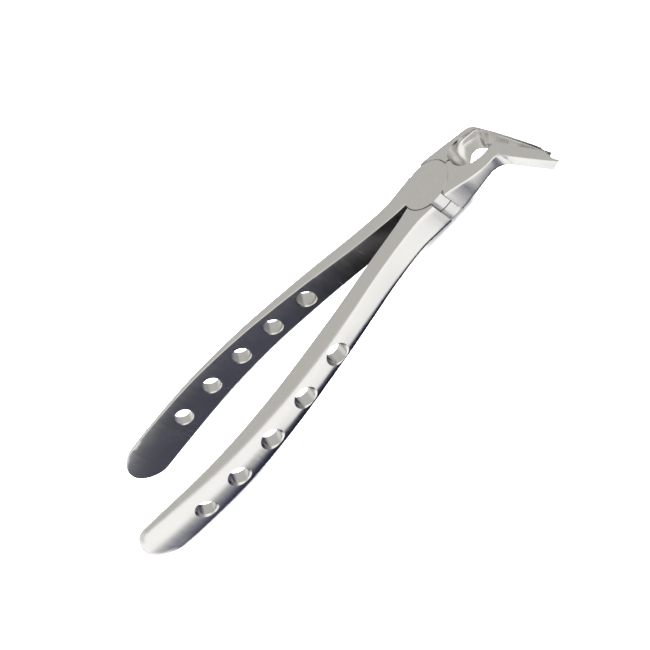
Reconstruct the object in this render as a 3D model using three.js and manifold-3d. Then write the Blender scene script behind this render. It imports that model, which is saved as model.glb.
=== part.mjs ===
// Extraction forceps: two forged levers crossing in a lap joint, held by one flush rivet.
// Millimetres, +Z up. The hinge axis is the Z axis. +X runs from the handles to the beaks, and the
// lever whose handle lies at +Y has the upper lap. The origin lies on the joint's lower flat.
import * as THREE from 'three';
import { mergeVertices } from 'three/addons/utils/BufferGeometryUtils.js';
import Module from 'manifold-3d';

const wasm = await Module();
wasm.setup();

// ---- driving dimensions ----
const jointHeight = 8.6;
const halfJoint = jointHeight / 2;
const lapRadius = 7.5;
const lapClearance = 0.25; // between a lap and the round recess that it turns in
const lapGap = 0.3; // between the two laps
const rivetRadius = 2.9;
const rivetClearance = 0.08;
const crotchGap = 0.25; // half the gap between the two roots when the forceps are at rest
const holeRadius = 3.0;
const holeDistances = [49.7, 64.3, 79.2, 94.1, 109.1]; // back from the hinge
const beakHeading = Math.atan2(-0.92, 0.4); // the way the beaks point, seen from above
// Where each beak's point lies, and how far its end is cut back above and below the point, in degrees.
const upperLapTip = { point: [27.4, -29.6, 6.9], above: 0, below: 45 };
const lowerLapTip = { point: [27.7, -23.5, 4.7], above: 40, below: 45 };

// A handle along its length: distance back from the hinge, where its inner face lies, its half width
// along the hinge axis, its thickness and how square its outer side is (2 is an ellipse).
const handleStations = [
  { back: 2.1, inner: crotchGap, half: 4.3, thick: 8.5, square: 9 },
  { back: 4.5, inner: 0.3, half: 4.3, thick: 8.1, square: 9 },
  { back: 7.5, inner: 0.75, half: 4.25, thick: 7.4, square: 9 },
  { back: 12, inner: 1.7, half: 4.0, thick: 6.5, square: 8 },
  { back: 24, inner: 4.4, half: 4.2, thick: 6.0, square: 6 },
  { back: 36, inner: 7.5, half: 4.6, thick: 6.2, square: 4 },
  { back: 48, inner: 10.5, half: 5.1, thick: 6.3, square: 3 },
  { back: 72, inner: 15.3, half: 6.05, thick: 5.7, square: 2.5 },
  { back: 96, inner: 17.5, half: 7.0, thick: 5.05, square: 2.3 },
  { back: 120, inner: 16.6, half: 7.7, thick: 4.4, square: 2.2 },
  { back: 128, inner: 15.9, half: 7.7, thick: 4.2, square: 2.2 },
];
const handleEnd = 137; // the rounded end of the handle
const handleEndInner = 14.9;

// A jaw (neck and beak) along its length: outer edge, inner edge on the upper face and inner edge on
// the lower face. The inner side leans, so that the two jaws face each other across a slanted gap.
const upperLapJaw = [
  { outer: [2.1, -8.6], upper: [5.5, -0.25], lower: [5.5, -0.25] },
  { outer: [3.8, -8.75], upper: [8.8, -0.25], lower: [8.8, -0.25] },
  { outer: [6.2, -9.1], upper: [8.95, -2.2], lower: [8.7, -3.0] },
  { outer: [9, -9.6], upper: [10.0, -4.4], lower: [9.4, -5.4] },
  { outer: [12, -9.85], upper: [12.4, -5.8], lower: [12.1, -6.9] },
  { outer: [15, -10.0], upper: [15.2, -6.15], lower: [14.9, -7.3] },
  { outer: [17.3, -10.5], upper: [18.0, -6.2], lower: [17.2, -7.6] },
  { outer: [18.7, -11.7], upper: [20.2, -7.1], lower: [18.9, -8.3] },
  { outer: [19.8, -14.0], upper: [22.0, -11.2], lower: [20.7, -11.8] },
  { outer: [21.2, -17.0], upper: [23.4, -14.8], lower: [22.1, -15.3] },
  { outer: [22.8, -20.4], upper: [24.9, -18.4], lower: [23.7, -18.9] },
  { outer: [24.6, -24.1], upper: [26.35, -22.1], lower: [25.4, -22.5] },
  { outer: [25.6, -26.0], upper: [26.9, -24.6], lower: [26.2, -25.0] },
  { outer: [26.4, -27.5], upper: [27.0, -26.9], lower: [26.8, -27.0] },
  { outer: [28.0, -30.6], upper: [28.5, -30.3], lower: [28.4, -30.35] },
];
const lowerLapJaw = [
  { outer: [2.1, 8.0], upper: [5.5, 0.25], lower: [5.5, 0.25] },
  { outer: [4.5, 8.1], upper: [8.8, 0.25], lower: [9.1, 0.1] },
  { outer: [7.5, 8.1], upper: [9.3, 2.2], lower: [10.6, -0.2] },
  { outer: [10.3, 8.05], upper: [10.8, 4.7], lower: [12.0, 1.4] },
  { outer: [13, 7.9], upper: [13, 5.7], lower: [13.4, 2.4] },
  { outer: [16.0, 7.5], upper: [15.3, 5.5], lower: [15.0, 2.2] },
  { outer: [18.2, 6.3], upper: [17.3, 4.3], lower: [16.2, 1.0] },
  { outer: [19.5, 4.2], upper: [18.7, 3.2], lower: [17.2, -0.9] },
  { outer: [20.5, 1.0], upper: [19.75, 0.6], lower: [18.2, -2.6] },
  { outer: [22.0, -3.9], upper: [21.2, -4.2], lower: [19.9, -6.0] },
  { outer: [23.6, -9.2], upper: [22.85, -9.5], lower: [21.4, -10.9] },
  { outer: [25.1, -14.3], upper: [24.4, -14.6], lower: [23.0, -15.6] },
  { outer: [26.3, -18.6], upper: [25.65, -18.8], lower: [24.5, -19.7] },
  { outer: [27.0, -21.5], upper: [26.6, -21.6], lower: [25.7, -22.2] },
  { outer: [27.7, -24.0], upper: [27.35, -24.1], lower: [26.9, -24.3] },
  { outer: [28.6, -27.6], upper: [28.3, -27.7], lower: [28.1, -27.8] },
];
// Half height of the jaws against the distance from the hinge axis.
const jawHeights = [
  [8.6, halfJoint],
  [10.2, 3.6],
  [13.2, 2.7],
  [16.4, 1.95],
  [18.5, 1.85],
  [20.8, 2.35],
  [22.5, 2.6],
  [30, 2.5],
  [42, 2.7],
];

// ---- solids ----
function solidOf(geometry) {
  geometry.deleteAttribute('normal');
  geometry.deleteAttribute('uv');
  const merged = mergeVertices(geometry, 1e-5);
  return new wasm.Manifold(
    new wasm.Mesh({
      numProp: 3,
      vertProperties: new Float32Array(merged.attributes.position.array),
      triVerts: new Uint32Array(merged.index.array),
    }),
  );
}

function geometryOf(solid) {
  const mesh = solid.getMesh();
  const geometry = new THREE.BufferGeometry();
  geometry.setAttribute('position', new THREE.BufferAttribute(new Float32Array(mesh.vertProperties), 3));
  geometry.setIndex(new THREE.BufferAttribute(new Uint32Array(mesh.triVerts), 1));
  geometry.computeVertexNormals();
  return geometry;
}

function cylinder(radius, low, high, x = 0, y = 0, sides = 64) {
  const shape = new THREE.CylinderGeometry(radius, radius, high - low, sides);
  shape.rotateX(Math.PI / 2);
  shape.translate(x, y, (low + high) / 2);
  return solidOf(shape);
}

function box(lowX, highX, lowY, highY, lowZ, highZ) {
  const shape = new THREE.BoxGeometry(highX - lowX, highY - lowY, highZ - lowZ);
  shape.translate((lowX + highX) / 2, (lowY + highY) / 2, (lowZ + highZ) / 2);
  return solidOf(shape);
}

// A closed body through equal rings of points, with both ends capped from their middle.
function loft(rings) {
  const size = rings[0].length;
  const points = rings.flat();
  const faces = [];
  for (let ring = 0; ring + 1 < rings.length; ring += 1) {
    for (let i = 0; i < size; i += 1) {
      const next = (i + 1) % size;
      const [a, b] = [ring * size + i, ring * size + next];
      faces.push(a, b, b + size, a, b + size, a + size);
    }
  }
  for (const [start, flip] of [[0, true], [(rings.length - 1) * size, false]]) {
    const middle = new THREE.Vector3();
    for (let i = 0; i < size; i += 1) middle.addScaledVector(points[start + i], 1 / size);
    points.push(middle);
    for (let i = 0; i < size; i += 1) {
      const next = (i + 1) % size;
      if (flip) faces.push(points.length - 1, start + next, start + i);
      else faces.push(points.length - 1, start + i, start + next);
    }
  }
  const geometry = new THREE.BufferGeometry().setFromPoints(points);
  geometry.setIndex(faces);
  return solidOf(geometry);
}

function flatCurve(points) {
  return new THREE.CatmullRomCurve3(points.map(([x, y]) => new THREE.Vector3(x, y, 0)), false, 'centripetal');
}

// How high a curve lies over a given x, for a curve whose x only grows.
function heightOver(curve, x) {
  let [low, high] = [0, 1];
  for (let i = 0; i < 30; i += 1) {
    const middle = (low + high) / 2;
    if (curve.getPoint(middle).x < x) low = middle;
    else high = middle;
  }
  return curve.getPoint(low).y;
}

// ---- handle ----
const handleSteps = 44;
const handleArcPoints = 18;
const straightShare = 0.86; // the share of the rings before the handle's end rounds over
const endShrink = 0.04; // how small the last ring is against the full section

function handleCurve(name) {
  return flatCurve(handleStations.map((station) => [station.back, station[name]]));
}

// Each ring: the flat inner face, then the rounded outer side as a superellipse.
function handleRing(share, side) {
  const at = handleStations[handleStations.length - 1].back;
  const straight = Math.min(share / straightShare, 1);
  const values = {};
  for (const name of ['inner', 'half', 'thick', 'square']) {
    values[name] = handleCurve(name).getPoint(straight);
  }
  let { x: back, y: inner } = values.inner;
  let shrink = 1;
  if (share > straightShare) {
    const turn = ((share - straightShare) / (1 - straightShare)) * (Math.PI / 2);
    back = at + (handleEnd - at) * Math.sin(turn);
    inner += (handleEndInner - inner) * Math.sin(turn);
    shrink = Math.max(Math.cos(turn), endShrink);
  }
  const half = values.half.y * shrink;
  const thick = values.thick.y * Math.sqrt(shrink);
  const ring = [];
  for (let i = 0; i <= handleArcPoints; i += 1) {
    const angle = (i / handleArcPoints) * Math.PI;
    const power = 2 / values.square.y;
    const z = half * Math.sign(Math.cos(angle)) * Math.abs(Math.cos(angle)) ** power;
    const out = thick * Math.sin(angle) ** power;
    ring.push(new THREE.Vector3(-back, side * (inner + out), halfJoint + z));
  }
  return side > 0 ? ring : ring.reverse();
}

function handle(side) {
  const rings = [];
  for (let i = 0; i <= handleSteps; i += 1) rings.push(handleRing(i / handleSteps, side));
  let solid = loft(rings);
  for (const distance of holeDistances) {
    const curve = handleCurve('inner');
    const inner = heightOver(curve, distance);
    const ahead = heightOver(curve, distance + 1);
    const lean = Math.atan(ahead - inner);
    const drill = new THREE.CylinderGeometry(holeRadius, holeRadius, 30, 24);
    drill.rotateZ(lean);
    drill.translate(-distance, inner, halfJoint);
    if (side < 0) drill.rotateX(Math.PI).translate(0, 0, jointHeight);
    solid = solid.subtract(solidOf(drill));
  }
  return solid;
}

// ---- jaw: neck and beak ----
const jawSteps = 40;
const jawSideSteps = 4;
const gougeDepth = 0.35;

const heightCurve = flatCurve(jawHeights);

function jawPoint(point, up) {
  const half = heightOver(heightCurve, Math.hypot(point.x, point.y));
  return new THREE.Vector3(point.x, point.y, halfJoint + up * half);
}

function jaw(stations, side) {
  const curves = {};
  for (const name of ['outer', 'upper', 'lower']) {
    curves[name] = flatCurve(stations.map((station) => station[name]));
  }
  const rings = [];
  for (let i = 0; i <= jawSteps; i += 1) {
    const names = ['outer', 'upper', 'lower'];
    const [outer, upper, lower] = names.map((name) => curves[name].getPoint(i / jawSteps));
    const corners = [jawPoint(outer, 1), jawPoint(upper, 1), jawPoint(lower, -1), jawPoint(outer, -1)];
    const ring = [corners[0]];
    const out = corners[0].clone().sub(corners[1]).setZ(0).normalize();
    for (let k = 0; k <= jawSideSteps; k += 1) {
      const share = k / jawSideSteps;
      const point = corners[1].clone().lerp(corners[2], share);
      const depth = Math.min(gougeDepth, 0.2 * corners[0].distanceTo(corners[1]));
      ring.push(point.addScaledVector(out, depth * Math.sin(share * Math.PI)));
    }
    ring.push(corners[3]);
    rings.push(side > 0 ? ring.reverse() : ring);
  }
  return loft(rings);
}

// The stock beyond a beak's end: two leaning blocks that leave a point between them.
function beyondTip({ point, above, below }) {
  const size = 30;
  const blocks = [above, -below].map((degrees) => {
    const block = new THREE.BoxGeometry(size, size, size);
    block.translate(size / 2, 0, 0);
    block.rotateY(THREE.MathUtils.degToRad(-degrees));
    block.rotateZ(beakHeading);
    block.translate(...point);
    return solidOf(block);
  });
  return blocks[0].add(blocks[1]);
}

// ---- levers ----
// side is +1 for the lever whose handle lies at +Y; its lap is the upper one.
function lever(side) {
  const stations = side > 0 ? upperLapJaw : lowerLapJaw;
  const [lapLow, lapHigh] = side > 0
    ? [halfJoint + lapGap / 2, jointHeight]
    : [0, halfJoint - lapGap / 2];
  const [freeLow, freeHigh] = side > 0
    ? [-1, halfJoint + lapGap / 2]
    : [halfJoint - lapGap / 2, jointHeight + 1];
  const otherLap = cylinder(lapRadius + lapClearance, freeLow, freeHigh);
  const endBlock = beyondTip(side > 0 ? upperLapTip : lowerLapTip);
  const body = handle(side).add(jaw(stations, side).subtract(endBlock)).subtract(otherLap);
  const lap = cylinder(lapRadius, lapLow, lapHigh);
  const bore = cylinder(rivetRadius + rivetClearance, -1, jointHeight + 1);
  return body.add(lap).subtract(bore);
}

const steelColour = '#b2b0aa';
const steel = (color, roughness) => new THREE.MeshStandardMaterial({ color, roughness, metalness: 1 });

function part(name, solid, material) {
  const mesh = new THREE.Mesh(geometryOf(solid), material);
  mesh.name = name;
  return mesh;
}

const forceps = new THREE.Group();
forceps.add(part('upper_lap_lever', lever(1), steel(steelColour, 0.35)));
forceps.add(part('lower_lap_lever', lever(-1), steel(steelColour, 0.35)));
forceps.add(part('pivot_rivet', cylinder(rivetRadius, 0, jointHeight), steel(steelColour, 0.4)));

export default forceps;
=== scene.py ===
"""Extraction forceps: two forged steel levers on a flush rivet, perforated handles and sideways beaks."""

import math

import bmesh
import bpy
import numpy as np
from mathutils import Matrix, Vector


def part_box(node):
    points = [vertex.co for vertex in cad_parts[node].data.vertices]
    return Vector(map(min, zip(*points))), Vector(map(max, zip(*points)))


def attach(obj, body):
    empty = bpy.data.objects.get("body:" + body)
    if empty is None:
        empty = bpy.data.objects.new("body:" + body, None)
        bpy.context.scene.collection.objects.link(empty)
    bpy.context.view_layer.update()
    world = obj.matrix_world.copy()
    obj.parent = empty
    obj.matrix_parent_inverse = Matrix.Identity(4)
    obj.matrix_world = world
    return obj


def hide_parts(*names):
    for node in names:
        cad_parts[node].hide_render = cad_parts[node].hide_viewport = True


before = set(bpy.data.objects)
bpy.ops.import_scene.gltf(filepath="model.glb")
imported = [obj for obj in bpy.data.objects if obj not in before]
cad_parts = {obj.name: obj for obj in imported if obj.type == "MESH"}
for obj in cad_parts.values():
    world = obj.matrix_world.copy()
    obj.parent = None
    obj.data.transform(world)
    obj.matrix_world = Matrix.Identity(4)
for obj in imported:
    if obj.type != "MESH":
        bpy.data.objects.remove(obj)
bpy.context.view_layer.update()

MM = 0.001

# ---- driving sizes, in millimetres, as the frame has them ----
LOW, HIGH = [corner.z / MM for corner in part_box("pivot_rivet")]
MIDDLE = (LOW + HIGH) / 2
RIVET_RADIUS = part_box("pivot_rivet")[1].x / MM
HANDLE_END = -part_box("upper_lap_lever")[0].x / MM
LAP_RADIUS = 7.5
LAP_CLEARANCE = 0.25
LAP_GAP = 0.3
HOLE_RADIUS = 3.0
HOLE_BEVEL = 0.3  # on the inner face
HOLE_COUNTERSINK = 0.8  # on the rounded outer side
HOLE_DISTANCES = (49.7, 64.3, 79.2, 94.1, 109.1)
HANDLE_END_INNER = 14.9
ROUND_START = 0.86  # share of the handle's rings before its rounded end begins
PAST = 1  # how far a cutter runs past what it cuts
ON_AXIS = 0.001  # the radius at which a turned profile meets its axis
LOOKUP_POINTS = 400  # points on a curve that values are looked up in

# Back from the hinge, inner face, half width, thickness, squareness of the outer side.
HANDLE_STATIONS = np.array([
    (2.1, 0.25, 4.30, 8.50, 9.0),
    (4.5, 0.30, 4.30, 8.10, 9.0),
    (7.5, 0.75, 4.25, 7.40, 9.0),
    (12.0, 1.70, 4.00, 6.50, 8.0),
    (24.0, 4.40, 4.20, 6.00, 6.0),
    (36.0, 7.50, 4.60, 6.20, 4.0),
    (48.0, 10.50, 5.10, 6.30, 3.0),
    (72.0, 15.30, 6.05, 5.70, 2.5),
    (96.0, 17.50, 7.00, 5.05, 2.3),
    (120.0, 16.60, 7.70, 4.40, 2.2),
    (128.0, 15.90, 7.70, 4.20, 2.2),
])

# Outer edge, inner edge of the upper face, inner edge of the lower face: x and y of each.
UPPER_LAP_JAW = np.array([
    (2.1, -8.6, 5.5, -0.25, 5.5, -0.25),
    (3.8, -8.75, 8.8, -0.25, 8.8, -0.25),
    (6.2, -9.1, 8.95, -2.2, 8.7, -3.0),
    (9.0, -9.6, 10.0, -4.4, 9.4, -5.4),
    (12.0, -9.85, 12.4, -5.8, 12.1, -6.9),
    (15.0, -10.0, 15.2, -6.15, 14.9, -7.3),
    (17.3, -10.5, 18.0, -6.2, 17.2, -7.6),
    (18.7, -11.7, 20.2, -7.1, 18.9, -8.3),
    (19.8, -14.0, 22.0, -11.2, 20.7, -11.8),
    (21.2, -17.0, 23.4, -14.8, 22.1, -15.3),
    (22.8, -20.4, 24.9, -18.4, 23.7, -18.9),
    (24.6, -24.1, 26.35, -22.1, 25.4, -22.5),
    (25.6, -26.0, 26.9, -24.6, 26.2, -25.0),
    (26.4, -27.5, 27.0, -26.9, 26.8, -27.0),
    (28.0, -30.6, 28.5, -30.3, 28.4, -30.35),
])
LOWER_LAP_JAW = np.array([
    (2.1, 8.0, 5.5, 0.25, 5.5, 0.25),
    (4.5, 8.1, 8.8, 0.25, 9.1, 0.1),
    (7.5, 8.1, 9.3, 2.2, 10.6, -0.2),
    (10.3, 8.05, 10.8, 4.7, 12.0, 1.4),
    (13.0, 7.9, 13.0, 5.7, 13.4, 2.4),
    (16.0, 7.5, 15.3, 5.5, 15.0, 2.2),
    (18.2, 6.3, 17.3, 4.3, 16.2, 1.0),
    (19.5, 4.2, 18.7, 3.2, 17.2, -0.9),
    (20.5, 1.0, 19.75, 0.6, 18.2, -2.6),
    (22.0, -3.9, 21.2, -4.2, 19.9, -6.0),
    (23.6, -9.2, 22.85, -9.5, 21.4, -10.9),
    (25.1, -14.3, 24.4, -14.6, 23.0, -15.6),
    (26.3, -18.6, 25.65, -18.8, 24.5, -19.7),
    (27.0, -21.5, 26.6, -21.6, 25.7, -22.2),
    (27.7, -24.0, 27.35, -24.1, 26.9, -24.3),
    (28.6, -27.6, 28.3, -27.7, 28.1, -27.8),
])
# Half height of the jaws against the distance from the hinge.
JAW_HEIGHTS = np.array([(8.6, 4.3), (10.2, 3.6), (13.2, 2.7), (16.4, 1.95), (18.5, 1.85),
                        (20.8, 2.35), (22.5, 2.6), (30.0, 2.5), (42.0, 2.7)])
BEAK_HEADING = math.atan2(-0.92, 0.4)
# The beaks' ends: a point on the cut, and how far the cut leans back above and below it, in degrees.
UPPER_LAP_TIP = ((27.4, -29.6, 6.9), 0, 45)
LOWER_LAP_TIP = ((27.75, -24.4, 5.6), 0, 45)
RIM_END = (26.7, -21.5, 5.6)  # past here the lower-lap beak has no rim above this height
TOOTH_PITCH = 0.65
TOOTH_DEPTH = 0.6


# ---- meshes ----
def smooth_curve(points, count):
    """A centripetal Catmull-Rom curve through the rows of points, at count even steps of its parameter."""
    points = np.asarray(points, float)
    ends = [2 * points[0] - points[1], *points, 2 * points[-1] - points[-2]]
    result = []
    last = len(points) - 1
    for step in np.linspace(0, last, count):
        i = min(int(step), last - 1)
        p0, p1, p2, p3 = ends[i:i + 4]
        t = step - i
        knots = [0.0]
        for a, b in ((p0, p1), (p1, p2), (p2, p3)):
            knots.append(knots[-1] + max(np.linalg.norm((b - a)[:2]), 1e-6) ** 0.5)
        k0, k1, k2, k3 = knots
        u = k1 + t * (k2 - k1)
        a1 = (k1 - u) / (k1 - k0) * p0 + (u - k0) / (k1 - k0) * p1
        a2 = (k2 - u) / (k2 - k1) * p1 + (u - k1) / (k2 - k1) * p2
        a3 = (k3 - u) / (k3 - k2) * p2 + (u - k2) / (k3 - k2) * p3
        b1 = (k2 - u) / (k2 - k0) * a1 + (u - k0) / (k2 - k0) * a2
        b2 = (k3 - u) / (k3 - k1) * a2 + (u - k1) / (k3 - k1) * a3
        result.append((k2 - u) / (k2 - k1) * b1 + (u - k1) / (k2 - k1) * b2)
    return np.array(result)


def step_between(value, start, end):
    """0 up to start, 1 from end on, and smooth between; end may lie below start."""
    share = min(max((value - start) / (end - start), 0), 1)
    return share * share * (3 - 2 * share)


def softened(values, spacing, reach):
    """The same row of values with its corners blended over reach."""
    count = int(3 * reach / spacing)
    weight = np.exp(-0.5 * (np.arange(-count, count + 1) * spacing / reach) ** 2)
    weight /= weight.sum()
    start = 2 * values[0] - values[count:0:-1]
    end = 2 * values[-1] - values[-2:-count - 2:-1]
    return np.convolve(np.concatenate([start, values, end]), weight, "valid")


def run_lengths(line):
    """How far along a row of points each of them lies."""
    return np.r_[0, np.cumsum(np.linalg.norm(np.diff(line, axis=0), axis=1))]


def new_object(name, points, faces):
    """A mesh object from points in millimetres."""
    mesh = bpy.data.meshes.new(name)
    mesh.from_pydata((np.asarray(points) * MM).tolist(), [], faces)
    mesh.validate()
    thing = bpy.data.objects.new(name, mesh)
    bpy.context.scene.collection.objects.link(thing)
    return thing


def loft(name, rings):
    """A closed body through equal rings of points, each end capped with one face."""
    size = len(rings[0])
    faces = []
    for ring in range(len(rings) - 1):
        start = ring * size
        for i in range(size):
            j = (i + 1) % size
            faces.append((start + i, start + j, start + size + j, start + size + i))
    faces.append(tuple(range(size))[::-1])
    faces.append(tuple(range((len(rings) - 1) * size, len(rings) * size)))
    return outward(new_object(name, np.concatenate(rings), faces))


def outward(thing):
    shape = bmesh.new()
    shape.from_mesh(thing.data)
    bmesh.ops.recalc_face_normals(shape, faces=shape.faces)
    shape.to_mesh(thing.data)
    shape.free()
    return thing


def turned(name, profile, sides=192):
    """A body turned about the upright axis from a profile of radius and height, closed on the axis."""
    angles = np.arange(sides) * 2 * math.pi / sides
    rings = []
    for radius, z in profile:
        rings.append(np.stack([radius * np.cos(angles), radius * np.sin(angles), np.full(sides, z)], 1))
    return loft(name, rings)


def disc(name, radius, low, high):
    return turned(name, [(ON_AXIS, low), (radius, low), (radius, high), (ON_AXIS, high)])


def cube(name, size):
    half = size / 2
    corners = [(x, y, z) for x in (-half, half) for y in (-half, half) for z in (-half, half)]
    faces = [(0, 1, 3, 2), (4, 6, 7, 5), (0, 4, 5, 1), (2, 3, 7, 6), (0, 2, 6, 4), (1, 5, 7, 3)]
    return outward(new_object(name, corners, faces))


def moved(x, y, z):
    return Matrix.Translation(Vector((x, y, z)) * MM)


def combine(target, tool, operation):
    """Cuts the tool from the target or joins it on, and removes the tool."""
    modifier = target.modifiers.new("cut", "BOOLEAN")
    modifier.operation = operation
    modifier.object = tool
    modifier.solver = "MANIFOLD"
    depsgraph = bpy.context.evaluated_depsgraph_get()
    mesh = bpy.data.meshes.new_from_object(target.evaluated_get(depsgraph))
    target.modifiers.clear()
    old = target.data
    target.data = mesh
    bpy.data.meshes.remove(old)
    bpy.data.objects.remove(tool)
    return target


# ---- handle ----
HANDLE_RINGS = 220
HANDLE_ARC = 64  # points on the rounded outer side
FINE_ARC = 600  # points that the even ones are taken from
FLAT_POINTS = 14
CORNER_POINTS = 7
EDGE_RADIUS = 0.35
EDGE_SHARE = 0.3  # the most of the half width or thickness that an edge's radius takes
END_SHRINK = 0.03  # how small the last ring is against the full section
ROOT_LEAN = 0.4  # the outer wall of the lower-lap handle's root leans back from a wider foot
ROOT_LEAN_ENDS = (8, 30)  # how far back the lean begins to fade, and is gone


def handle_rings(side):
    straight = int(HANDLE_RINGS * ROUND_START)
    stations = smooth_curve(HANDLE_STATIONS, straight)
    rings = [handle_ring(*station, 1.0, side) for station in stations]
    last = stations[-1]
    turns = np.linspace(0, math.pi / 2, HANDLE_RINGS - straight + 1)[1:]
    for turn in turns:
        back = last[0] + (HANDLE_END - last[0]) * math.sin(turn)
        inner = last[1] + (HANDLE_END_INNER - last[1]) * math.sin(turn)
        rings.append(handle_ring(back, inner, *last[2:], max(math.cos(turn), END_SHRINK), side))
    return rings


def handle_ring(back, inner, half, thick, square, shrink, side):
    """The outer side as a superellipse, then the flat inner face with its rounded edges."""
    half = half * shrink
    thick = thick * math.sqrt(shrink)
    edge = min(EDGE_RADIUS, EDGE_SHARE * half, EDGE_SHARE * thick)
    power = 2 / square
    start = math.asin((edge / thick) ** (1 / power))
    angles = np.linspace(start, math.pi - start, FINE_ARC)
    z = half * np.sign(np.cos(angles)) * np.abs(np.cos(angles)) ** power
    out = thick * np.sin(angles) ** power
    steps = np.r_[0, np.cumsum(np.hypot(np.diff(z), np.diff(out)))]
    even = np.linspace(0, steps[-1], HANDLE_ARC)
    z = np.interp(even, steps, z)
    out = np.interp(even, steps, out)
    if side < 0:
        lean = ROOT_LEAN / thick * (1 - step_between(back, *ROOT_LEAN_ENDS))
        out = out * (1 - lean * z / half)
    corner = np.linspace(0, math.pi / 2, CORNER_POINTS)[1:]
    low_z = -half + edge * (1 - np.cos(corner))
    low_out = edge * (1 - np.sin(corner))
    flat = np.linspace(-1, 1, FLAT_POINTS)[1:-1] * (half - edge)
    z = np.concatenate([z, low_z, flat, -low_z[::-1]])
    out = np.concatenate([out, low_out, 0 * flat, low_out[::-1]])
    return np.stack([np.full(len(z), -back), side * (inner + out), MIDDLE + z], 1)


def drill(thick):
    """The cutter of one hole: a little wider at the inner face, countersunk on the outer side."""
    reach = 8
    just_under = -0.001
    sink = HOLE_RADIUS + HOLE_COUNTERSINK + reach
    profile = [(ON_AXIS, -reach), (HOLE_RADIUS + reach, -reach), (HOLE_RADIUS + HOLE_BEVEL, just_under),
               (HOLE_RADIUS, HOLE_BEVEL), (HOLE_RADIUS, thick - HOLE_COUNTERSINK), (sink, thick + reach),
               (ON_AXIS, thick + reach)]
    return turned("drill", profile, sides=96)


def handle(side):
    body = loft("handle", handle_rings(side))
    line = smooth_curve(HANDLE_STATIONS, LOOKUP_POINTS)
    for distance in HOLE_DISTANCES:
        inner, ahead = np.interp((distance, distance + 1), line[:, 0], line[:, 1])
        cutter = drill(np.interp(distance, line[:, 0], line[:, 3]))
        lean = Matrix.Rotation(-side * math.atan(ahead - inner), 4, "Z")
        spin = Matrix.Rotation(-side * math.pi / 2, 4, "X")
        cutter.data.transform(moved(-distance, side * inner, MIDDLE) @ lean @ spin)
        body = combine(body, cutter, "DIFFERENCE")
    return body


# ---- jaw ----
NECK_RINGS = 150
CURVE_POINTS = 1500
CURVE_STEP = 0.05
CURVE_BLEND = 0.45  # over what length the plan's curves are smoothed
RINGS_PER_TOOTH = 8
WALL_POINTS = 14
INNER_POINTS = 34
FILLET_POINTS = 6
# A jaw's beak begins past this x, where the y of its inner line falls below the jaw's own value.
ELBOW_X = 17.5
UPPER_LAP_ELBOW_Y = -8.5
LOWER_LAP_ELBOW_Y = 0.5
CUTTER_SIZE = 30
WALL_UNDERCUT = 0.3  # the foot of the upper-lap neck's wall is set in this much
TIP_SINK = 0.45  # how far the upper-lap beak's top drops towards its tip
TIP_SINK_ENDS = (33, 40)  # distances from the hinge between which it drops
GOUGE = 0.35  # how deep the upper-lap jaw's inner face is hollowed
LIP = 0.25  # upright edge left under the scoop
RIM_SHIFT = 0.6  # the share of its width that the lower-lap jaw's upper face loses on the beak
SCOOP_TURN = math.radians(55)  # the arc of the scoop's section, from upright at the rim
OVERHANG = 0.16  # how far the scoop is hollowed behind its rim by the elbow, as a share of its width
OVERHANG_SPAN = 2.2  # the overhang takes up one part in this many of the section
UPPER_LAP_EDGE = 0.5  # rounding where the wall meets the upper face
LOWER_LAP_EDGE = 0.3
BEAK_EDGE_LOSS = 0.7  # the share of that rounding which is gone on the beak
RIM_EDGE = 0.12  # rounding where the upper face meets the inner side
NECK_RIM_EDGE = 0.9  # the lower-lap neck's rim is rounded by this much more
LIP_EDGE = 0.1
FOOT_EDGE = 0.4
WALL_SPAN = (0.12, 0.9)  # between which shares of its height the wall has points of its own
UNDERCUT_POWER = 1.5
TOOTH_ZONE = (0.27, 0.97)  # between which shares of the inner side the teeth stand
TOOTH_ZONE_SLOPES = (8, 12)  # how steeply they rise and fall at its ends
TIP_TEETH_ENDS = (36, 34.5)  # distances from the hinge between which the teeth fade out
# Where things change along a jaw: distances past the elbow, below 0 on the neck.
BEAK_ENDS = (0, 0.5)
TEETH_ENDS = (0.5, 2)
RIM_SHIFT_ENDS = (-5, 2)
UNDERCUT_ENDS = (-7, 0)
OVERHANG_ENDS = (-8, -3)
LEDGE_ENDS = (-1.5, 2)
NECK_RIM_ENDS = (-7, -2)
# The lower-lap beak's section: share of the way round it, then how far across and how far down.
LEDGE = ((0, 0.25, 0.35, 0.7, 0.78, 1), (0, -0.12, -0.04, 0.9, 1, 1), (0, 0.26, 0.3, 0.44, 0.5, 1))

HEIGHT_CURVE = smooth_curve(JAW_HEIGHTS, LOOKUP_POINTS)


def jaw_half(x, y):
    return np.interp(np.hypot(x, y), HEIGHT_CURVE[:, 0], HEIGHT_CURVE[:, 1])


def toward(start, end, radius):
    """The point radius away from start on the way to end, or nearly half way if that is closer."""
    length = np.linalg.norm(end - start)
    return start + (end - start) / length * min(radius, 0.45 * length)


def fillet(before, corner, after, radius):
    """Points that turn the corner with a curve that starts and ends radius away from it."""
    start = toward(corner, before, radius)
    end = toward(corner, after, radius)
    t = np.linspace(0, 1, FILLET_POINTS)[:, None]
    return (1 - t) ** 2 * start + 2 * t * (1 - t) * corner + t * t * end


def softened_curve(stations):
    """The jaw's plan at even steps along its outer edge, with the bends blended."""
    curve = smooth_curve(stations, CURVE_POINTS)
    steps = run_lengths(curve[:, 0:2])
    even = np.arange(0, steps[-1], CURVE_STEP)
    columns = [softened(np.interp(even, steps, column), CURVE_STEP, CURVE_BLEND) for column in curve.T]
    return np.stack(columns, 1)


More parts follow.
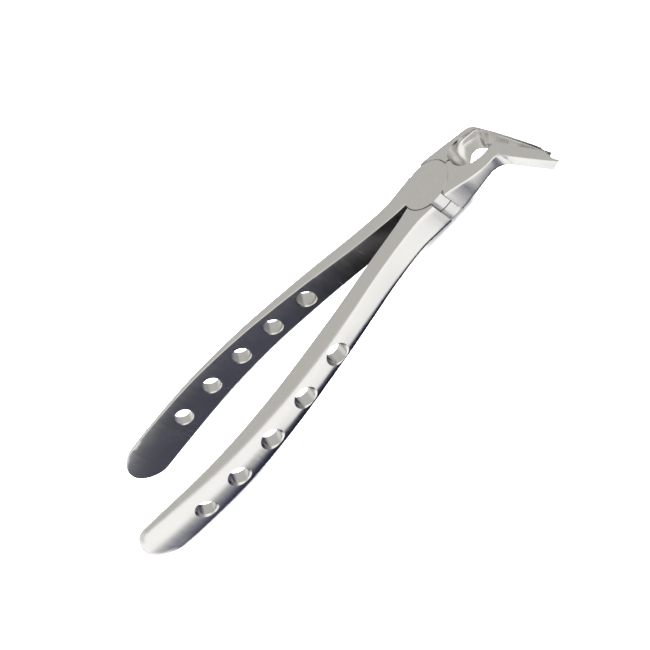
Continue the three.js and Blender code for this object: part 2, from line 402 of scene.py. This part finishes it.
def cut_beyond(body, point, degrees, lift=0):
    """Cuts off what lies beyond a plane through the point that leans back by the degrees."""
    cutter = cube("cutter", CUTTER_SIZE)
    head = Matrix.Rotation(BEAK_HEADING, 4, "Z")
    lean = Matrix.Rotation(math.radians(-degrees), 4, "Y")
    cutter.data.transform(moved(*point) @ head @ lean @ moved(CUTTER_SIZE / 2, 0, lift))
    return combine(body, cutter, "DIFFERENCE")


def jaw(stations, side, tip):
    curve = softened_curve(stations)
    inner_line = (curve[:, 2:4] + curve[:, 4:6]) / 2
    lengths = run_lengths(inner_line)
    elbow_y = UPPER_LAP_ELBOW_Y if side > 0 else LOWER_LAP_ELBOW_Y
    elbow = lengths[np.argmax((inner_line[:, 1] < elbow_y) & (inner_line[:, 0] > ELBOW_X))]
    beak_rings = int((lengths[-1] - elbow) / TOOTH_PITCH * RINGS_PER_TOOTH)
    neck_places = np.linspace(0, elbow, NECK_RINGS, endpoint=False)
    rings = []
    for place in np.r_[neck_places, np.linspace(elbow, lengths[-1], beak_rings)]:
        row = np.array([np.interp(place, lengths, curve[:, i]) for i in range(6)])
        rings.append(jaw_ring(row[0:2], row[2:4], row[4:6], place - elbow, side))
    body = loft("jaw", rings)
    point, above, below = tip
    body = cut_beyond(body, point, above)
    body = cut_beyond(body, point, -below)
    if side < 0:
        body = cut_beyond(body, RIM_END, 0, lift=CUTTER_SIZE / 2)
    return body


def scoop(rim, lip, along_beak):
    """The lower-lap jaw's inner side: an arc that hollows the neck, then a ledge along the beak."""
    turn = np.linspace(0, SCOOP_TURN, INNER_POINTS)[:, None]
    share = turn / SCOOP_TURN
    across = (1 - np.cos(turn)) / (1 - math.cos(SCOOP_TURN))
    down = np.sin(turn) / math.sin(SCOOP_TURN)
    hollow = np.sin(np.minimum(share * OVERHANG_SPAN, 1) * math.pi)
    across = across - OVERHANG * step_between(along_beak, *OVERHANG_ENDS) * hollow
    ledge = step_between(along_beak, *LEDGE_ENDS)
    across = across + (np.interp(share, LEDGE[0], LEDGE[1]) - across) * ledge
    down = down + (np.interp(share, LEDGE[0], LEDGE[2]) - down) * ledge
    return np.c_[rim[:2] + (lip[:2] - rim[:2]) * across, rim[2] + (lip[2] - rim[2]) * down]


def gouged(rim, lip, outward_way):
    """The upper-lap jaw's inner side, with its shallow gouge."""
    turn = np.linspace(0, SCOOP_TURN, INNER_POINTS)[:, None]
    share = turn / turn[-1]
    return rim + (lip - rim) * share + outward_way * GOUGE * np.sin(share * math.pi)


def toothed(inner, outward_way, along_beak, from_hinge):
    """The inner side with a serration that stands out along its own normal."""
    share = np.linspace(0, 1, INNER_POINTS)
    strength = step_between(along_beak, *TEETH_ENDS) * step_between(from_hinge, *TIP_TEETH_ENDS)
    wave = abs((along_beak / TOOTH_PITCH) % 1 - 0.5) * 2
    rise = np.clip((share - TOOTH_ZONE[0]) * TOOTH_ZONE_SLOPES[0], 0, 1)
    fall = np.clip((TOOTH_ZONE[1] - share) * TOOTH_ZONE_SLOPES[1], 0, 1)
    zone = rise * fall
    slope = np.gradient(inner, axis=0)
    inward = np.cross(slope, np.cross(outward_way, slope))
    inward /= np.linalg.norm(inward, axis=1, keepdims=True)
    return inner + inward * (TOOTH_DEPTH * strength * wave * zone)[:, None]


def jaw_ring(outer, upper, lower, along_beak, side):
    """Upper face, inner face with its scoop and teeth, lower face, outer wall."""
    on_beak = step_between(along_beak, *BEAK_ENDS)
    if side < 0:
        upper = upper + (outer - upper) * RIM_SHIFT * step_between(along_beak, *RIM_SHIFT_ENDS)
    top_outer = np.r_[outer, MIDDLE + jaw_half(*outer)]
    rim = np.r_[upper, MIDDLE + jaw_half(*upper)]
    low_inner = np.r_[lower, MIDDLE - jaw_half(*lower)]
    low_outer = np.r_[outer, MIDDLE - jaw_half(*outer)]
    across = outer - (upper + lower) / 2
    across = np.r_[across / np.linalg.norm(across), 0]
    foot = 0 * across
    if side > 0:
        sink = TIP_SINK * step_between(np.hypot(*outer), *TIP_SINK_ENDS)
        top_outer[2] -= sink
        rim[2] -= sink
        foot = across * WALL_UNDERCUT * (1 - step_between(along_beak, *UNDERCUT_ENDS))
    low_outer = low_outer - foot
    lip = low_inner + [0, 0, LIP]
    inner = scoop(rim, lip, along_beak) if side < 0 else gouged(rim, lip, across)
    if along_beak > 0:
        inner = toothed(inner, across, along_beak, np.hypot(*outer))
    wall_edge = (UPPER_LAP_EDGE if side > 0 else LOWER_LAP_EDGE) * (1 - BEAK_EDGE_LOSS * on_beak)
    rim_edge = RIM_EDGE
    if side < 0:
        rim_edge = RIM_EDGE + NECK_RIM_EDGE * step_between(along_beak, *NECK_RIM_ENDS) * (1 - on_beak)
    share = np.linspace(*WALL_SPAN, WALL_POINTS)[:, None]
    set_in = foot * (1 - share - (1 - share) ** UNDERCUT_POWER)
    wall = low_outer + (top_outer - low_outer) * share + set_in
    return np.concatenate([
        fillet(low_outer, top_outer, rim, wall_edge)[1:-1],
        fillet(top_outer, rim, inner[2], rim_edge),
        inner[3:],
        fillet(inner[-1], low_inner, low_outer, LIP_EDGE),
        fillet(low_inner, low_outer, top_outer, FOOT_EDGE),
        wall,
    ])


# ---- levers ----
RIVET_GAP = 0.008
RIVET_BEVEL = 0.025
SHARP_ANGLE = math.radians(28)


def lever(name, side, stations, tip):
    """One forging, with room for the other lever's lap; side is +1 for the one with the upper lap."""
    lap_face = MIDDLE + side * LAP_GAP / 2
    lap = (lap_face, HIGH) if side > 0 else (LOW, lap_face)
    free = (LOW - PAST, lap_face) if side > 0 else (lap_face, HIGH + PAST)
    body = combine(handle(side), jaw(stations, side, tip), "UNION")
    body = combine(body, disc("recess", LAP_RADIUS + LAP_CLEARANCE, *free), "DIFFERENCE")
    body = combine(body, disc("lap", LAP_RADIUS, *lap), "UNION")
    bore = disc("bore", RIVET_RADIUS + RIVET_GAP, LOW - PAST, HIGH + PAST)
    body = combine(body, bore, "DIFFERENCE")
    body.name = name
    shade(body)
    return body


def shade(thing):
    mesh = thing.data
    mesh.polygons.foreach_set("use_smooth", [True] * len(mesh.polygons))
    mesh.set_sharp_from_angle(angle=SHARP_ANGLE)
    weighted = thing.modifiers.new("weighted", "WEIGHTED_NORMAL")
    weighted.keep_sharp = True


def rivet():
    flat = RIVET_RADIUS - RIVET_BEVEL
    profile = [(ON_AXIS, LOW), (flat, LOW), (RIVET_RADIUS, LOW + RIVET_BEVEL),
               (RIVET_RADIUS, HIGH - RIVET_BEVEL), (flat, HIGH), (ON_AXIS, HIGH)]
    pin = turned("pivot_rivet_ground", profile)
    shade(pin)
    return pin


# ---- materials ----
def value_node(tree, kind, **settings):
    node = tree.nodes.new(kind)
    for name, value in settings.items():
        setattr(node, name, value)
    return node


def connect(tree, source, target):
    if isinstance(source, (int, float)):
        target.default_value = source
    else:
        tree.links.new(source, target)


def math_node(tree, operation, first, second=0.0):
    node = value_node(tree, "ShaderNodeMath", operation=operation)
    connect(tree, first, node.inputs[0])
    connect(tree, second, node.inputs[1])
    return node.outputs["Value"]


def mix_node(tree, share, first, second, blend="MIX"):
    """A colour mixed from two; each of them is a colour or another node's output."""
    node = value_node(tree, "ShaderNodeMix", data_type="RGBA", blend_type=blend)
    connect(tree, share, node.inputs[0])
    for colour, socket in ((first, node.inputs[6]), (second, node.inputs[7])):
        if isinstance(colour, tuple):
            socket.default_value = (*colour, 1)
        else:
            connect(tree, colour, socket)
    return node.outputs[2]


def fade(tree, value, start, end):
    """0 up to start, 1 from end on, and smooth between; end may lie below start."""
    node = value_node(tree, "ShaderNodeMapRange", interpolation_type="SMOOTHSTEP")
    node.inputs["From Min"].default_value = min(start, end)
    node.inputs["From Max"].default_value = max(start, end)
    node.inputs["To Min"].default_value = 0 if start < end else 1
    node.inputs["To Max"].default_value = 1 if start < end else 0
    connect(tree, value, node.inputs["Value"])
    return node.outputs["Result"]


# How finely each grade of noise repeats along x, y and z, per metre.
GROUND_LINES = {"fine": (7000, 7000, 500), "coarse": (1500, 1500, 120), "cloud": (90, 90, 90)}
WEAR = (0.6, 1.4)  # the sums of two noises between which the roughness changes
ROUGHNESS = (0.17, 0.29)
STEEL_TINT = (0.72, 0.71, 0.69)
TINT_RANGE = (0.95, 1.04)
LINE_DEPTH = 0.00001
LINE_STRENGTH = 0.6


def ground_noise(tree, place, scale):
    stretch = value_node(tree, "ShaderNodeMapping")
    stretch.inputs["Scale"].default_value = scale
    connect(tree, place.outputs["Object"], stretch.inputs["Vector"])
    noise = value_node(tree, "ShaderNodeTexNoise")
    noise.inputs["Scale"].default_value = 1.0
    noise.inputs["Detail"].default_value = 2.0
    connect(tree, stretch.outputs["Vector"], noise.inputs["Vector"])
    return noise.outputs["Fac"]


def steel(name):
    """Ground stainless steel: fine lines along the hinge axis, and coarser ones that vary tone and gloss."""
    material = bpy.data.materials.new(name)
    material.use_nodes = True
    tree = material.node_tree
    shader = tree.nodes["Principled BSDF"]
    shader.inputs["Metallic"].default_value = 1.0
    place = value_node(tree, "ShaderNodeTexCoord")
    lines = {grade: ground_noise(tree, place, scale) for grade, scale in GROUND_LINES.items()}
    rough = value_node(tree, "ShaderNodeMapRange")
    rough.inputs["From Min"].default_value = WEAR[0]
    rough.inputs["From Max"].default_value = WEAR[1]
    rough.inputs["To Min"].default_value = ROUGHNESS[0]
    rough.inputs["To Max"].default_value = ROUGHNESS[1]
    connect(tree, math_node(tree, "ADD", lines["coarse"], lines["cloud"]), rough.inputs["Value"])
    connect(tree, rough.outputs["Result"], shader.inputs["Roughness"])
    dark, light = [tuple(channel * factor for channel in STEEL_TINT) for factor in TINT_RANGE]
    connect(tree, mix_node(tree, lines["coarse"], dark, light), shader.inputs["Base Color"])
    bump = value_node(tree, "ShaderNodeBump")
    bump.inputs["Distance"].default_value = LINE_DEPTH
    bump.inputs["Strength"].default_value = LINE_STRENGTH
    connect(tree, math_node(tree, "ADD", lines["fine"], lines["coarse"]), bump.inputs["Height"])
    connect(tree, bump.outputs["Normal"], shader.inputs["Normal"])
    return material


# ---- stage ----
CAMERA_PLACE = (26.82, -183.58, 148.4)
CAMERA_RIGHT = (0.6458, -0.2958, -0.7038)
CAMERA_FORWARD = (-0.30867, 0.74203, -0.59507)
FLOOR_SIZE = 3000  # half its width
LAMP_PLACE = (-0.05, 0, 0.9)  # in metres
LAMP_SIZE = 2.4
LAMP_POWER = 200
CARD_DEPTH = 0.5  # how far under the floor's level the cards of painted shade lie
# Outlines, in millimetres, of the painted shade under the handles and under the necks: dark cards that stand
# in for the floor's shade between the levers.
HANDLE_SHADE_OUTLINE = ((-1, 9), (-60, 15), (-130, 17), (-175, 10), (-175, -12), (-60, -10), (-1, -9))
NECK_SHADE_OUTLINE = ((9, -5.5), (13, -5.5), (15.8, -8.5), (20.5, -18), (27, -22), (27, -8), (22, 8), (16, 16),
             (3, 16), (6, 5))
# Colours of the painted shade: near black by the joint, dark blue-grey down the handles.
SHADE_BY_JOINT = (0.001, 0.0012, 0.006)
SHADE_DOWN_HANDLES = (0.16, 0.165, 0.24)
SHADE_FADE = (-0.03, -0.075)  # x, in metres, between which the painted shade turns from its darkest by the joint to lighter down the handles

# The light tent. Angles are in degrees: elevation is up from the horizon, and azimuth is 0 towards -Y
# and grows towards +X. The surround is dark below the object and grey above.
SURROUND = ((-90, (0.015, 0.018, 0.035)), (-66, (0.02, 0.024, 0.045)), (-54, (0.06, 0.065, 0.1)),
            (-40, (0.25, 0.26, 0.32)), (-20, (0.6, 0.595, 0.58)), (90, (0.63, 0.615, 0.59)))
SOFT_BOX = 1.27
SOFT_BOX_FAR_SIDE = 0.6  # how much of the soft box is taken away on the object's far side
RIGHT_SHADE = (0.45, 0.45, 0.47)
# Each patch fades in or out between pairs of angles.
BOX = (("elevation", -36, -17), ("elevation", 50, 32), ("azimuth", -155, -140), ("azimuth", 30, 15))
FAR_SIDE = (("azimuth", -65, -80), ("elevation", 2, 10))
PATCHES = (
    (("azimuth", -72, -88), ("elevation", -50, -42), ("azimuth", -160, -150), ("elevation", 0, -30)),
    (("azimuth", -28, -20), ("elevation", -52, -42), ("azimuth", 40, 30), ("elevation", 0, -30)),
    (("azimuth", 0, 10), ("azimuth", 85, 65), ("elevation", 5, 15), ("elevation", 55, 45)),
)
RIGHT = (("azimuth", 25, 50), ("azimuth", 150, 120), ("elevation", 15, -5))


def camera():
    """Close above the joint's -Y side, rolled so that the handles run down to the left."""
    right = Vector(CAMERA_RIGHT).normalized()
    forward = Vector(CAMERA_FORWARD).normalized()
    up = right.cross(forward)
    lens = bpy.data.cameras.new("camera")
    lens.lens = 47.2
    lens.sensor_width = 36
    lens.clip_start = 0.01
    thing = bpy.data.objects.new("camera", lens)
    turn = Matrix((right, up, -forward)).transposed().to_4x4()
    thing.matrix_world = moved(*CAMERA_PLACE) @ turn
    bpy.context.scene.collection.objects.link(thing)
    bpy.context.scene.camera = thing


def floor(z):
    """A pale floor that doesn't show in the steel."""
    size = FLOOR_SIZE
    corners = [(-size, -size, z), (size, -size, z), (size, size, z), (-size, size, z)]
    ground = new_object("floor", corners, [(0, 1, 2, 3)])
    material = bpy.data.materials.new("floor_white")
    material.use_nodes = True
    shader = material.node_tree.nodes["Principled BSDF"]
    shader.inputs["Base Color"].default_value = (0.9, 0.9, 0.9, 1)
    shader.inputs["Roughness"].default_value = 0.9
    ground.data.materials.append(material)
    ground.visible_glossy = False


def painted_shade_card(name, corners, z):
    """A card of painted shade lying under the object, seen only in the steel. It stands in for the shade on
    the floor under and between the levers, and is darkest by the joint.
    """
    card = new_object(name, [(x, y, z) for x, y in corners], [tuple(range(len(corners)))])
    material = bpy.data.materials.new(name)
    material.use_nodes = True
    tree = material.node_tree
    place = value_node(tree, "ShaderNodeTexCoord")
    split = value_node(tree, "ShaderNodeSeparateXYZ")
    connect(tree, place.outputs["Object"], split.inputs["Vector"])
    far = fade(tree, split.outputs["X"], *SHADE_FADE)
    shader = tree.nodes["Principled BSDF"]
    connect(tree, mix_node(tree, far, SHADE_BY_JOINT, SHADE_DOWN_HANDLES), shader.inputs["Base Color"])
    shader.inputs["Roughness"].default_value = 0.8
    card.data.materials.append(material)
    card.visible_camera = False
    card.visible_diffuse = False
    card.visible_shadow = False


def overhead_lamp():
    """A soft lamp straight above, which lights the floor without showing in the steel."""
    data = bpy.data.lights.new("overhead", "AREA")
    data.shape = "SQUARE"
    data.size = LAMP_SIZE
    data.energy = LAMP_POWER
    thing = bpy.data.objects.new("overhead", data)
    thing.location = LAMP_PLACE
    thing.visible_glossy = False
    bpy.context.scene.collection.objects.link(thing)


def directions(tree):
    """Where in the tent a ray looks, as elevation and azimuth in degrees."""
    place = value_node(tree, "ShaderNodeTexCoord")
    split = value_node(tree, "ShaderNodeSeparateXYZ")
    connect(tree, place.outputs["Generated"], split.inputs["Vector"])
    degrees = 180 / math.pi
    rise = math_node(tree, "ARCSINE", split.outputs["Z"])
    toward_front = math_node(tree, "MULTIPLY", split.outputs["Y"], -1.0)
    swing = math_node(tree, "ARCTAN2", split.outputs["X"], toward_front)
    return {"elevation": math_node(tree, "MULTIPLY", rise, degrees),
            "azimuth": math_node(tree, "MULTIPLY", swing, degrees)}


def patch(tree, angles, spans):
    """How much of a patch of the tent lies in a direction: the product of its fades."""
    fades = [fade(tree, angles[name], start, end) for name, start, end in spans]
    amount = fades[0]
    for other in fades[1:]:
        amount = math_node(tree, "MULTIPLY", amount, other)
    return amount


def surround(tree, elevation):
    ramp = value_node(tree, "ShaderNodeValToRGB")
    height = math_node(tree, "MULTIPLY_ADD", elevation, 1 / 180)
    height.node.inputs[2].default_value = 0.5
    connect(tree, height, ramp.inputs["Fac"])
    stops = ramp.color_ramp.elements
    while len(stops) < len(SURROUND):
        stops.new(0.5)
    for stop, (angle, colour) in zip(stops, SURROUND):
        stop.position = (angle + 90) / 180
        stop.color = (*colour, 1)
    return ramp.outputs["Color"]


def light_tent():
    """The world: its surround, shaded on the right, with a soft box and patches; white to the camera."""
    world = bpy.data.worlds.new("light_tent")
    bpy.context.scene.world = world
    world.use_nodes = True
    tree = world.node_tree
    angles = directions(tree)
    far_side = math_node(tree, "MULTIPLY", patch(tree, angles, FAR_SIDE), SOFT_BOX_FAR_SIDE)
    near_side = math_node(tree, "SUBTRACT", 1.0, far_side)
    bright = math_node(tree, "MULTIPLY", patch(tree, angles, BOX), near_side)
    for spans in PATCHES:
        bright = math_node(tree, "MAXIMUM", bright, patch(tree, angles, spans))
    grey = surround(tree, angles["elevation"])
    grey = mix_node(tree, patch(tree, angles, RIGHT), grey, RIGHT_SHADE, blend="MULTIPLY")
    tent = mix_node(tree, bright, grey, (SOFT_BOX, SOFT_BOX, SOFT_BOX))
    seen = value_node(tree, "ShaderNodeLightPath").outputs["Is Camera Ray"]
    connect(tree, mix_node(tree, seen, tent, (1, 1, 1)), tree.nodes["Background"].inputs["Color"])


upper = lever("upper_lap_lever_forged", 1, UPPER_LAP_JAW, UPPER_LAP_TIP)
lower = lever("lower_lap_lever_forged", -1, LOWER_LAP_JAW, LOWER_LAP_TIP)
pin = rivet()
for piece, node, body, slot in ((upper, "upper_lap_lever", "upper_lever", "upper_lever_steel"),
                                (lower, "lower_lap_lever", "lower_lever", "lower_lever_steel"),
                                (pin, "pivot_rivet", "lower_lever", "rivet_steel")):
    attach(piece, body)
    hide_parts(node)
    piece.data.materials.clear()
    piece.data.materials.append(steel(slot))

ground_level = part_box("upper_lap_lever")[0].z / MM
camera()
floor(ground_level)
# Painted shade under the handles and the necks, seen only in the steel's reflections.
painted_shade_card("handle_painted_shade", HANDLE_SHADE_OUTLINE, ground_level - CARD_DEPTH)
painted_shade_card("neck_painted_shade", NECK_SHADE_OUTLINE, ground_level - CARD_DEPTH)
light_tent()
overhead_lamp()
bpy.context.scene.view_settings.view_transform = "Standard"
